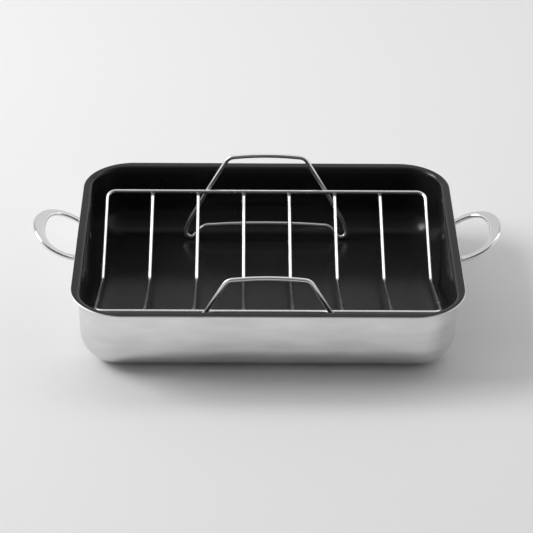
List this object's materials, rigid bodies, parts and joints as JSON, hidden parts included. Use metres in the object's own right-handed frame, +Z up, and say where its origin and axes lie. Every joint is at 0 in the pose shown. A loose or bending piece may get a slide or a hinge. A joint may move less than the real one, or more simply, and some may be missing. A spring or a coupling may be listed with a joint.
{
  "type": "roasting pan with rack",
  "caption": "Rectangular steel roasting pan with a dark coated inside, riveted loop handles and a V-shaped wire rack that lifts out by its carrying loops.",
  "frame": {"origin": "centre of the pan's underside", "axes": "+X along the pan from the left handle to the right one, +Y to the rear, +Z up"},
  "size_m": [0.5166, 0.33, 0.1093],
  "materials": {
    "satin_steel": "satin",
    "dark_coating": "satin",
    "polished_steel": "polished",
    "bright_wire": "polished"
  },
  "bodies": {
    "pan": {"pan_shell": "satin_steel", "nonstick_lining": "dark_coating", "left_handle": "polished_steel", "right_handle": "polished_steel", "left_rear_rivet": "polished_steel", "left_front_rivet": "polished_steel", "right_rear_rivet": "polished_steel", "right_front_rivet": "polished_steel"},
    "rack": {"rack_frame": "bright_wire", "cross_wire_1": "bright_wire", "cross_wire_2": "bright_wire", "cross_wire_3": "bright_wire", "cross_wire_4": "bright_wire", "cross_wire_5": "bright_wire", "cross_wire_6": "bright_wire", "rear_leg_loop": "bright_wire", "front_leg_loop": "bright_wire"}
  },
  "joints": [
    {"name": "rack_lift", "type": "slide", "parent": "pan", "child": "rack", "axis": [0, 0, 1], "range_m": [0, 0.11]}
  ]
}
